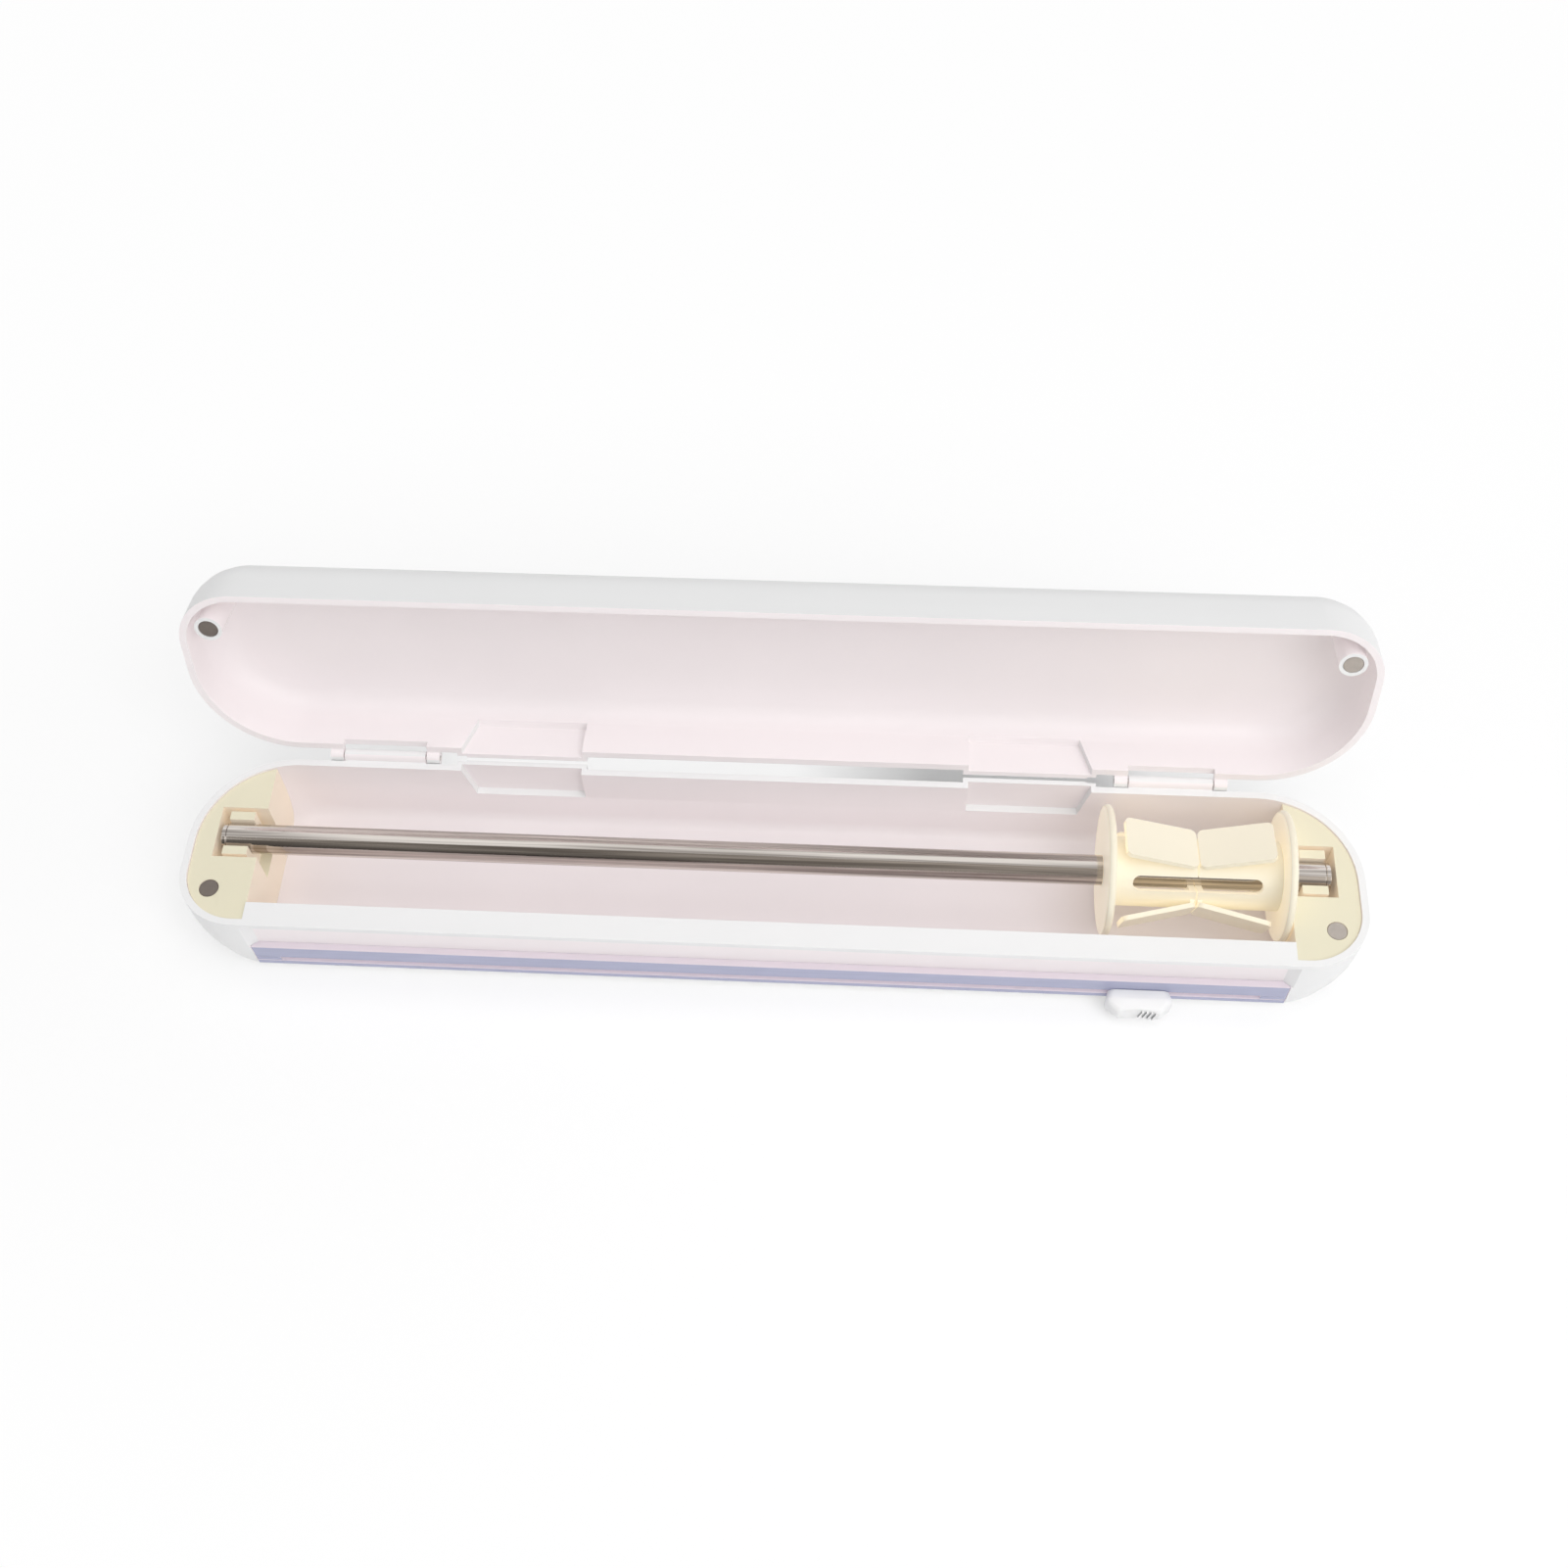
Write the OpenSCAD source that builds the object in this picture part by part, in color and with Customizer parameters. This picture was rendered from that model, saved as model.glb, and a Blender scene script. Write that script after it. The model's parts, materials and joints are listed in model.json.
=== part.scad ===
/* [Case] */
// Length of the case along the roll
case_l = 368; // [350:1:420]
// Depth of the case from its front lip to its back face
case_w = 61; // [58:0.5:70]
// Height of the base from the table to its rim
base_h = 30; // [29:0.5:40]
// Height of the lid from its rim to its top
lid_h = 22.5; // [20.5:0.5:32]
// Thickness of the moulded walls
wall = 2.2; // [1.6:0.1:2.6]
// Thickness of the base floor
floor_t = 2.2; // [1.6:0.1:2.8]
// Plan radius of the two front corners
front_r = 19.5; // [17:0.5:22]
// Plan radius of the two back corners
back_r = 31; // [26:0.5:34]
// Gap between the two rims when the lid is shut
rim_gap = 0.3; // [0.2:0.1:0.8]
// Angle that the lid opens to
open_angle = 105; // [90:1:110]

/* [Rounded edges] */
// How far each end of the base draws in at the table
base_end_in = 14; // [8:0.5:18]
// Height over which the base ends draw in
base_end_rise = 22; // [14:0.5:26]
// Radius of the lower front and back edges of the base
base_edge_r = 5.7; // [4.5:0.1:8]
// How far each end of the lid draws in at its top
lid_end_in = 12; // [8:0.5:16]
// Height over which the lid ends draw in
lid_end_rise = 14; // [11:0.5:18]
// Radius of the upper front and back edges of the lid
lid_edge_r = 10; // [6:0.5:10.5]
// Flats on each quarter turn of the moulded outline
arc_steps = 16; // [8:1:24]

/* [Film front] */
// Width of the flat ledge that the film runs over
ledge_w = 8.2; // [7:0.1:10]
// Thickness of the lip at the front of the ledge
lip_t = 2; // [1.4:0.1:3]
// Height of the set-back face between the lip and the rail
film_face_h = 12.8; // [8:0.1:14]
// How far that face stands back from the lip
film_face_in = 2.2; // [1:0.1:2.6]
// Slant of the two ends of the set-back face
film_face_slant = 3; // [0:0.5:4]
// Thickness of the case behind the ends of that face and of the rail
end_wall = 1.6; // [1.2:0.1:2.4]

/* [Cutter rail] */
// Distance of each rail end from the end of the case
rail_end = 22.4; // [21:0.1:30]
// Height of the rail
rail_h = 10.8; // [9:0.1:12]
// Thickness of the rail from front to back
rail_t = 4.8; // [4.4:0.1:5.2]
// Thickness of the rail's front skin
rail_skin = 1.5; // [1:0.1:1.8]
// Height of the slot's middle above the rail's lower edge
slot_up = 3.4; // [3.2:0.1:5]
// Height of the slot that the slider's neck runs in
slot_h = 2.2; // [1.8:0.1:2.8]
// Height of the hollow behind the slot
tee_h = 4.4; // [3.8:0.1:5]
// Depth of the hollow behind the slot
tee_d = 2.3; // [1.8:0.1:2.4]
// Length of the plug that closes each end of the rail
rail_plug_l = 8; // [4:0.5:14]

/* [Slider] */
// Distance of the resting slider from the right end of the case
slider_end = 67.8; // [50:0.1:300]
// Length of the thumb knob
knob_l = 20.5; // [16:0.5:26]
// Height of the thumb knob
knob_h = 8.2; // [6:0.1:8.4]
// How far the thumb knob stands out of the rail
knob_d = 7.2; // [5:0.1:9]
// How far the knob's middle lies below the slot's middle
knob_drop = 1.4; // [0:0.1:1.6]
// Corner radius of the thumb knob
knob_r = 2.2; // [1:0.1:2.4]
// How much shorter the knob is at the rail, at each end
knob_waist = 0.8; // [0:0.1:2]
// Distance of the knob's longest place from the rail
knob_belly = 2.8; // [1:0.1:3.6]
// How much shorter the knob is at its front, at each end
knob_taper = 2.4; // [0:0.1:4]
// How much lower the knob is at its front, at each edge
knob_thin = 0.7; // [0:0.1:1]
// Length of the thumb dip in the knob's front
dip_l = 13; // [10:0.5:14]
// Depth of the thumb dip
dip_d = 1; // [0.4:0.1:1.4]
// Number of thumb ribs in the dip
knob_ribs = 4; // [3:1:5]
// Width of each thumb rib
rib_w = 0.6; // [0.4:0.1:0.8]
// Distance from rib to rib
rib_step = 1.4; // [1.1:0.1:1.5]
// Lean of the thumb ribs
rib_lean = 14; // [0:1:30]
// Length of the neck that runs in the slot
neck_l = 7; // [5:0.5:9]
// Length of the shoe inside the rail
shoe_l = 18; // [14:0.5:24]
// Length of the blade from point to point
blade_l = 12; // [10:0.5:14]
// Thickness of the blade
blade_t = 0.4; // [0.3:0.05:0.6]
// Play of the slider in the rail
slide_gap = 0.2; // [0.15:0.05:0.3]

/* [Hinges] */
// How far the hinge axis lies behind the back face
hinge_off = 2.3; // [2.1:0.1:3]
// Clearance round the hinge barrels
hinge_clear = 0.3; // [0.2:0.05:0.5]
// Distance of each hinge from the end of the case
hinge_end = 58; // [52:0.5:64]
// Length of the base barrel
barrel_l = 26.4; // [18:0.2:28]
// Width of each lid ear
ear_w = 4.2; // [3:0.1:5]
// Gap between the barrel and each ear
ear_gap = 0.4; // [0.3:0.1:0.8]
// Diameter of the hinge pin
pin_d = 2; // [1.4:0.1:2.2]
// Height of the notch in the lid above each barrel
notch_h = 2.4; // [1:0.1:4]
// Distance from the middle of a hinge to its pocket
pocket_off = 23.4; // [20:0.1:28]
// Length of each hinge pocket
pocket_l = 42.2; // [30:0.1:44]
// Depth of the hinge pockets from the rim
pocket_h = 13.8; // [8:0.1:14]
// Slant of the outer end of each pocket
pocket_slant = 3.2; // [0:0.1:5]
// Thickness of the pocket walls
pocket_wall = 1.6; // [1.2:0.1:2.2]
// How far the pocket walls stop short of the hinge axis
pocket_gap = 0.45; // [0.3:0.05:0.8]

/* [End blocks and magnets] */
// Length of each end block from the end of the case
block_l = 23; // [22:0.1:26]
// Drop of the block's top below the rim
block_drop = 0.8; // [0.4:0.1:2]
// Distance of the rod recess from the end of the case
recess_end = 8.6; // [5:0.1:9]
// Diameter of the magnets
magnet_d = 6; // [4:0.5:7]
// Height of the magnets
magnet_h = 3; // [2:0.5:5]
// Distance of the magnets from the end of the case
magnet_end = 10.1; // [9.5:0.1:12]
// Distance of the magnets from the front of the case
magnet_front = 13; // [12:0.1:15]
// Wall of the lid posts round their magnets
post_wall = 1.3; // [1:0.1:2]
// Play of pieces that are seated for good
seat_fit = 0.1; // [0.05:0.01:0.2]
// Play of pieces that are pressed in
press_fit = 0.025; // [0.01:0.005:0.05]

/* [Spindle] */
// Outer diameter of the rod
rod_d = 9.5; // [8:0.1:10]
// Wall of the rod
rod_wall = 0.75; // [0.5:0.05:1.5]
// Drop of the rod's axis below the rim
rod_drop = 5; // [3.5:0.1:5.5]
// Running clearance round the rod
run_fit = 0.05; // [0.03:0.01:0.09]
// Gap between the rod's end and its recess
rod_end_gap = 1.4; // [0.5:0.1:2]
// Thickness of the caps on the rod's ends
rod_cap_t = 1.5; // [1:0.1:2.5]
// Depth of the cap's spigot inside the rod
rod_cap_in = 8; // [4:0.5:14]
// Thickness of the two prongs that hold the rod
prong_t = 3; // [2:0.1:3.6]
// Height of the prongs above the rod's axis
prong_up = 3.8; // [2:0.1:4.2]
// Length of the cradle along the rod
cradle_l = 7.9; // [5:0.1:8.5]
// Distance of the cradle from the block's inner face
cradle_in = 3.8; // [2:0.1:4.5]
// Room round the cradle in its recess
recess_gap = 1.2; // [0.8:0.1:2]
// Depth of the recess below the rod's axis
recess_down = 9; // [7:0.1:14]

/* [Core plugs] */
// Diameter of the plug's flange
flange_d = 41.4; // [34:0.2:42]
// Thickness of the flange
flange_t = 2.5; // [1.6:0.1:3.5]
// Length of a plug from its flange to its tip
plug_l = 28.2; // [24:0.2:34]
// Outer diameter of the plug's hub
hub_d = 21.6; // [18:0.2:24]
// Wall of the hub
hub_wall = 1.8; // [1.2:0.1:2.6]
// Number of sprung wings, and of slots between them
wings = 3; // [3:1:4]
// Thickness of the sprung wings
wing_t = 1.5; // [1:0.1:2]
// How far a wing stands out at its free end
wing_flare = 5.4; // [3:0.1:7]
// Width of the sprung wings
wing_w = 15; // [10:0.2:16]
// Corner radius of the sprung wings
wing_r = 2; // [1:0.1:4]
// Gap between a wing's free end and the flange
wing_gap = 3; // [1:0.1:5]
// Width of the slots in the hub
hub_slot_w = 4.8; // [3:0.1:5.2]
// Distance of the slots from the flange
hub_slot_end = 6; // [3:0.1:9]
// Thickness of the web at the plug's tip
tip_t = 2; // [1.4:0.1:3]
// Turn of the plugs about the rod
plug_turn = 49; // [0:1:120]
// Gap between the right flange and its end block
flange_gap = 0.35; // [0.3:0.05:1]
// Gap between the two plugs' tips
tip_gap = 0.3; // [0.2:0.05:1]

/* [Hidden] */

$fn = 64;
// a cut runs this far past the face that it opens
over = 1;
// two solids that are joined share this much depth
bite = 0.6;
// angle of one rounded corner
quarter = 90;
// angle between the rings of a rounded edge
edge_step = 18;
// rings between a rounded edge and the straight wall of an end
end_rings = 3;

white = [0.93, 0.91, 0.92];
cream = [0.95, 0.91, 0.78];
steel = [0.62, 0.62, 0.62];
clear_blue = [0.66, 0.72, 0.84, 0.6];
dark_steel = [0.42, 0.41, 0.4];

front_y = -case_w / 2;
back_y = case_w / 2;
inner_y = front_y + ledge_w;

hinge_x = case_l / 2 - hinge_end;
hinge_y = back_y + hinge_off;
hinge_z = base_h + rim_gap / 2;
barrel_r = hinge_off - hinge_clear;
lid_z = base_h + rim_gap;
pocket_x = hinge_x - pocket_off;
pocket_back = hinge_y - pocket_gap;

block_x = case_l / 2 - block_l;
block_top = base_h - block_drop;
magnet_x = case_l / 2 - magnet_end;
magnet_y = front_y + magnet_front;

rod_y = (inner_y + back_y - wall) / 2;
rod_z = base_h - rod_drop;
rod_r = rod_d / 2;
recess_x = case_l / 2 - recess_end;
rod_l = 2 * (recess_x - rod_end_gap - rod_cap_t);
cradle_r = rod_r + run_fit;
recess_w = 2 * (cradle_r + prong_t + recess_gap);

rail_l = case_l - 2 * rail_end;
rail_top = base_h - lip_t - film_face_h;
rail_low = rail_top - rail_h;
slot_z = rail_low + slot_up;
tee_y = front_y + rail_skin;
shoe_h = tee_h - 2 * slide_gap;
shoe_d = tee_d - 2 * slide_gap;
neck_h = slot_h - 2 * slide_gap;
face_x = block_x - end_wall;
beam_x = rail_l / 2 + seat_fit + end_wall;
beam_top = rail_top + seat_fit + end_wall;
slider_x = case_l / 2 - slider_end;
knob_y = front_y - slide_gap;
knob_z = slot_z - knob_drop;

right_flange_x = block_x - flange_gap;
left_flange_x = right_flange_x - 2 * plug_l - tip_gap;

// Share of a rounded edge's draw-in at a height above its start
function drawn_in(up, depth, rise) =
    up >= rise ? 0 : depth * (1 - sqrt(max(0, 1 - pow((rise - up) / rise, 2))));

// Points of one rounded corner about its middle
function arc(x, y, r, from) =
    [for (i = [0 : arc_steps])
        let (a = from + quarter * i / arc_steps)
        [x + r * cos(a), y + r * sin(a)]];

// Plan outline with two small corners in front and two large ones at the back
function plan(l, w, r, big) = let (x = l / 2, y = w / 2) concat(
    arc(x - r, r - y, r, -quarter),
    arc(x - big, y - big, big, 0),
    arc(big - x, y - big, big, quarter),
    arc(r - x, r - y, r, 2 * quarter));

// Heights of the rings from the rounded face to the rim
function levels(edge_r, end_rise, h) = concat(
    [for (a = [0 : edge_step : quarter]) edge_r * (1 - cos(a))],
    [for (i = [1 : end_rings]) edge_r + (end_rise - edge_r) * i / end_rings],
    [h]);

// One ring of a moulded form, drawn in evenly and at its rounded edge
function ring(up, z, inset, edge_r, end_in, end_rise) =
    let (in_x = inset + drawn_in(up, end_in, end_rise),
         in_y = inset + drawn_in(up, edge_r, edge_r))
    [for (p = plan(case_l - 2 * in_x, case_w - 2 * in_y, front_r - in_y, back_r - in_y)) [p.x, p.y, z]];

// Closed solid through rings of equal count, listed upwards
module loft(rings) {
    n = len(rings[0]);
    last = len(rings) - 1;
    polyhedron(
        points = [for (r = rings) each r],
        faces = concat(
            [[for (i = [0 : n - 1]) i]],
            [[for (i = [n - 1 : -1 : 0]) last * n + i]],
            [for (k = [0 : last - 1], i = [0 : n - 1])
                let (j = (i + 1) % n) [k * n + j, k * n + i, (k + 1) * n + i, (k + 1) * n + j]]));
}

// Base form, drawn in by inset, from a floor height up to a top height
module base_form(inset, low, top) {
    edge = base_edge_r - inset;
    rise = base_end_rise - low;
    loft([for (up = levels(edge, rise, top - low))
        ring(up, low + up, inset, edge, base_end_in - inset, rise)]);
}

// Lid form, drawn in by inset, from a rim height up to below the lid's top
module lid_form(inset, low, down) {
    edge = lid_edge_r - inset;
    rise = lid_end_rise - down;
    top = lid_z + lid_h - down;
    steps = levels(edge, rise, top - low);
    loft([for (i = [len(steps) - 1 : -1 : 0])
        ring(steps[i], top - steps[i], inset, edge, lid_end_in - inset, rise)]);
}

module both_ends() {
    children();
    mirror([1, 0, 0]) children();
}

// A box from its low corner to its high corner
module span(low, high) {
    translate(low) cube(high - low);
}

// A cylinder along X from one place to another
module bar(x0, x1, r, y, z) {
    translate([x0, y, z]) rotate([0, 90, 0]) cylinder(r = r, h = x1 - x0);
}

// Turns the shut lid to its open place
module lid_open() {
    translate([0, hinge_y, hinge_z])
        rotate([-open_angle, 0, 0])
            translate([0, -hinge_y, -hinge_z]) children();
}

// Form of a hinge pocket, drawn in by inset, between two heights above the rim and two depths
module pocket_form(inset, low, high, front, back) {
    near = pocket_x - inset;
    far = pocket_x - pocket_l + inset;
    slant = pocket_slant / pocket_h;
    translate([0, back, 0]) rotate([90, 0, 0]) linear_extrude(back - front)
        polygon([[far, low], [near - slant * low, low], [near - slant * high, high], [far, high]]);
}

// Outside of a pocket, which bulges out of the back wall
module pocket_bulge() {
    pocket_form(0, 0, pocket_h + pocket_wall, back_y - wall, pocket_back);
}

// Inside of a pocket, which is open to the rim and to the hollow of the case
module pocket_notch() {
    pocket_form(pocket_wall, -over, pocket_h, back_y - wall - over, pocket_back - pocket_wall);
}

// Hollow of the base, which leaves the ledge and the beam behind the rail solid
module base_hollow() {
    difference() {
        base_form(wall, floor_t, base_h + over);
        span([-block_x, front_y, 0], [block_x, inner_y, base_h + 2 * over]);
        span([-beam_x, front_y, 0], [beam_x, inner_y, beam_top]);
    }
}

// Set-back face and the channel that the rail sits in
module front_cuts() {
    x = rail_l / 2 + seat_fit;
    wide_x = face_x + film_face_slant;
    translate([0, 0, rail_top]) linear_extrude(film_face_h) polygon([
        [-wide_x, front_y - over], [wide_x, front_y - over],
        [wide_x, front_y], [face_x, front_y + film_face_in],
        [-face_x, front_y + film_face_in], [-wide_x, front_y]]);
    span([-x, front_y - over, rail_low - seat_fit], [x, front_y + rail_t + seat_fit, rail_top + seat_fit]);
}

// Barrel of one base hinge with the web that carries it
module base_lug() {
    bar(hinge_x - barrel_l / 2, hinge_x + barrel_l / 2, barrel_r, hinge_y, hinge_z);
    span([hinge_x - barrel_l / 2, back_y - bite, hinge_z - barrel_r],
        [hinge_x + barrel_l / 2, hinge_y, base_h]);
}

module base_tray() color(white) difference() {
    union() {
        difference() {
            base_form(0, 0, base_h);
            base_hollow();
        }
        both_ends() {
            translate([0, 0, base_h]) mirror([0, 0, 1]) pocket_bulge();
            base_lug();
        }
    }
    front_cuts();
    both_ends() {
        translate([0, 0, base_h]) mirror([0, 0, 1]) pocket_notch();
        bar(hinge_x - barrel_l, hinge_x + barrel_l, pin_d / 2 + press_fit, hinge_y, hinge_z);
    }
}

// One end block with its rod recess, its cradle and its magnet hole
module end_block() color(cream) {
    cradle_x = block_x + cradle_in;
    recess_low = rod_z - recess_down;
    difference() {
        intersection() {
            base_form(wall + seat_fit, floor_t + seat_fit, block_top);
            span([block_x, front_y, 0], [case_l / 2, back_y, base_h]);
        }
        span([block_x - over, front_y, 0], [beam_x + seat_fit, inner_y + seat_fit, beam_top + seat_fit]);
        difference() {
            span([block_x - over, rod_y - recess_w / 2, recess_low],
                [recess_x, rod_y + recess_w / 2, base_h + over]);
            difference() {
                span([cradle_x, rod_y - cradle_r - prong_t, recess_low - over],
                    [cradle_x + cradle_l, rod_y + cradle_r + prong_t, rod_z + prong_up]);
                bar(cradle_x - over, cradle_x + cradle_l + over, cradle_r, rod_y, rod_z);
                span([cradle_x - over, rod_y - cradle_r, rod_z],
                    [cradle_x + cradle_l + over, rod_y + cradle_r, rod_z + prong_up + over]);
            }
        }
        translate([magnet_x, magnet_y, block_top - magnet_h])
            cylinder(d = magnet_d + 2 * seat_fit, h = magnet_h + over);
    }
}

module end_block_right() end_block();
module end_block_left() mirror([1, 0, 0]) end_block();

module base_magnet() color(dark_steel)
    translate([magnet_x, magnet_y, block_top - magnet_h]) cylinder(d = magnet_d, h = magnet_h);

module base_magnet_right() base_magnet();
module base_magnet_left() mirror([1, 0, 0]) base_magnet();

// Hollow of the rail: the slot and the wider space behind it
module rail_hollow(play, l) {
    span([-l / 2, front_y - over, slot_z - slot_h / 2 + play],
        [l / 2, tee_y + bite, slot_z + slot_h / 2 - play]);
    span([-l / 2, tee_y + play, slot_z - tee_h / 2 + play],
        [l / 2, tee_y + tee_d - play, slot_z + tee_h / 2 - play]);
}

module cutter_rail() color(clear_blue) difference() {
    span([-rail_l / 2, front_y, rail_low], [rail_l / 2, front_y + rail_t, rail_top]);
    rail_hollow(0, case_l);
}

// Plug that closes the rail's hollow and stops the slider
module rail_plug() color(clear_blue) intersection() {
    rail_hollow(seat_fit, case_l);
    span([rail_l / 2 - rail_plug_l, front_y, rail_low], [rail_l / 2, front_y + rail_t, rail_top]);
}

module rail_plug_right() rail_plug();
module rail_plug_left() mirror([1, 0, 0]) rail_plug();

module hinge_pin() color(steel) {
    reach = barrel_l / 2 + ear_gap + ear_w;
    bar(hinge_x - reach, hinge_x + reach, pin_d / 2, hinge_y, hinge_z);
}

module hinge_pin_right() hinge_pin();
module hinge_pin_left() mirror([1, 0, 0]) hinge_pin();

// One lid ear: barrel, web to the lid's back wall, and the heel that stops the lid
module lid_ear(x0) {
    x1 = x0 + ear_w;
    bar(x0, x1, barrel_r, hinge_y, hinge_z);
    span([x0, back_y - bite, lid_z], [x1, hinge_y, hinge_z + barrel_r]);
    translate([x0, hinge_y, hinge_z]) rotate([open_angle, 0, 0]) translate([0, -barrel_r, -barrel_r])
        cube([ear_w, barrel_r, barrel_r]);
}

// Post inside the lid that holds a magnet
module lid_post() {
    translate([magnet_x, magnet_y, lid_z - over])
        cylinder(d = magnet_d + 2 * post_wall, h = lid_h + 2 * over);
}

module lid_shell() color(white) lid_open() difference() {
    union() {
        difference() {
            lid_form(0, lid_z, 0);
            difference() {
                lid_form(wall, lid_z - over, wall);
                both_ends() lid_post();
            }
        }
        both_ends() {
            translate([0, 0, lid_z]) pocket_bulge();
            lid_ear(hinge_x - barrel_l / 2 - ear_gap - ear_w);
            lid_ear(hinge_x + barrel_l / 2 + ear_gap);
        }
    }
    both_ends() {
        translate([0, 0, lid_z]) pocket_notch();
        span([hinge_x - barrel_l / 2 - ear_gap, back_y - wall - over, lid_z - over],
            [hinge_x + barrel_l / 2 + ear_gap, back_y + over, lid_z + notch_h]);
        bar(hinge_x - barrel_l, hinge_x + barrel_l, pin_d / 2 + run_fit, hinge_y, hinge_z);
        translate([magnet_x, magnet_y, lid_z - over])
            cylinder(d = magnet_d + 2 * seat_fit, h = magnet_h + over);
    }
}

module lid_magnet() color(dark_steel)
    translate([magnet_x, magnet_y, lid_z]) cylinder(d = magnet_d, h = magnet_h);

module lid_magnet_right() lid_open() lid_magnet();
module lid_magnet_left() lid_open() mirror([1, 0, 0]) lid_magnet();

module spindle_rod() color(steel) difference() {
    bar(-rod_l / 2, rod_l / 2, rod_r, rod_y, rod_z);
    bar(-rod_l / 2 - over, rod_l / 2 + over, rod_r - rod_wall, rod_y, rod_z);
}

// Cap in the rod's end: a head on a spigot
module rod_cap() color(steel) {
    bar(rod_l / 2, rod_l / 2 + rod_cap_t, rod_r, rod_y, rod_z);
    bar(rod_l / 2 - rod_cap_in, rod_l / 2 + rod_cap_t / 2, rod_r - rod_wall - press_fit, rod_y, rod_z);
}

module rod_cap_right() rod_cap();
module rod_cap_left() mirror([1, 0, 0]) rod_cap();

// Outline of a sprung wing, from its tip along its length
module wing_outline(l) {
    translate([0, wing_r - wing_w / 2]) square([l, wing_w - 2 * wing_r]);
    translate([wing_r, -wing_w / 2]) square([l - 2 * wing_r, wing_w]);
    for (x = [wing_r, l - wing_r], y = [wing_r - wing_w / 2, wing_w / 2 - wing_r])
        translate([x, y]) circle(wing_r);
}

// One sprung wing: a plate that leans out from the plug's tip, and the root that carries it
module wing() {
    hub_r = hub_d / 2;
    drop = plug_l - flange_t - wing_gap;
    lean = atan(wing_flare / drop);
    tip_z = plug_l - wing_t * sin(lean);
    root_y = wing_w / 2 - wing_r;
    root_x = sqrt(hub_r * hub_r - root_y * root_y) - bite;
    translate([hub_r - bite, 0, tip_z]) rotate([0, quarter - lean, 0])
        linear_extrude(wing_t) wing_outline((tip_z - flange_t - wing_gap) / cos(lean));
    span([root_x, -root_y, plug_l - tip_t + bite / 2], [hub_r - bite / 2, root_y, plug_l - bite / 2]);
}

// One core plug about Z: flange at the foot, slotted hub and sprung wings hung from the tip
module core_plug() color(cream) {
    hub_r = hub_d / 2;
    bore_r = rod_r + run_fit;
    bead_r = flange_t / 2;
    foot = flange_t + hub_slot_end + hub_slot_w / 2;
    difference() {
        union() {
            rotate_extrude() {
                translate([bore_r, 0]) square([flange_d / 2 - bead_r - bore_r, flange_t]);
                translate([flange_d / 2 - bead_r, bead_r]) circle(bead_r);
                translate([hub_r - hub_wall, 0]) square([hub_wall, plug_l]);
                translate([bore_r, plug_l - tip_t]) square([hub_r - bore_r, tip_t]);
            }
            for (i = [0 : wings - 1]) rotate([0, 0, 360 / wings * (i + 0.5)]) wing();
        }
        for (i = [0 : wings - 1]) rotate([0, 0, 360 / wings * i]) {
            span([bore_r - over, -hub_slot_w / 2, foot], [hub_r + over, hub_slot_w / 2, plug_l + over]);
            translate([bore_r, 0, foot]) rotate([0, 90, 0])
                cylinder(d = hub_slot_w, h = hub_r - bore_r + over);
        }
    }
}

// A plug on the rod with its flange at x, pointing to the left
module plug_at(x) {
    translate([x, rod_y, rod_z]) rotate([plug_turn, 0, 0]) rotate([0, -90, 0]) core_plug();
}

module core_plug_right() plug_at(right_flange_x);
module core_plug_left() mirror([1, 0, 0]) plug_at(-left_flange_x);

// One layer of the knob's rounded block, at a depth in front of the rail
module knob_layer(depth, end_in, edge_in, r) {
    reach = knob_l / 2 - end_in - r;
    rise = knob_h / 2 - edge_in - r;
    for (sx = [-1, 1], sz = [-1, 1])
        translate([slider_x + sx * reach, knob_y - depth, knob_z + sz * rise]) sphere(r, $fn = 24);
}

// Depth of the thumb dip at a distance from its middle
function dip_at(x) = dip_d * (1 - pow(2 * x / dip_l, 2));

// Round bar whose side hollows the knob's front to the depth of the dip
module thumb_dip() {
    r = (dip_l * dip_l / 4 + dip_d * dip_d) / (2 * dip_d);
    translate([slider_x, knob_y - knob_d + dip_d - r, knob_z - knob_h])
        cylinder(r = r, h = 2 * knob_h, $fn = 180);
}

// Thumb knob with its ribs and the neck that runs in the slot
module cutter_knob() color(white) {
    difference() {
        union() {
            difference() {
                intersection() {
                    hull() {
                        knob_layer(0, knob_waist, knob_thin / 2, knob_r);
                        knob_layer(knob_belly, 0, 0, knob_r);
                        knob_layer(knob_d - knob_r, knob_taper, knob_thin, knob_r);
                    }
                    span([slider_x - knob_l, knob_y - knob_d, knob_z - knob_h],
                        [slider_x + knob_l, knob_y, knob_z + knob_h]);
                }
                thumb_dip();
            }
            for (i = [0 : knob_ribs - 1]) {
                x = rib_step * (i + 0.5);
                translate([slider_x + x, knob_y - knob_d + dip_at(x), knob_z])
                    rotate([0, rib_lean, 0]) cube([rib_w, 2 * rib_w, knob_h / 2], center = true);
            }
            span([slider_x - neck_l / 2, knob_y - bite, slot_z - neck_h / 2],
                [slider_x + neck_l / 2, tee_y + slide_gap, slot_z + neck_h / 2]);
        }
        span([slider_x - blade_l, front_y, slot_z - blade_t / 2],
            [slider_x + blade_l, tee_y + slide_gap + over, slot_z + blade_t / 2]);
    }
}

// Shoe that keeps the slider in the rail
module cutter_shoe() color(white) {
    span([slider_x - shoe_l / 2, tee_y + slide_gap, slot_z - shoe_h / 2],
        [slider_x + shoe_l / 2, tee_y + slide_gap + shoe_d, slot_z + shoe_h / 2]);
}

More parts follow.
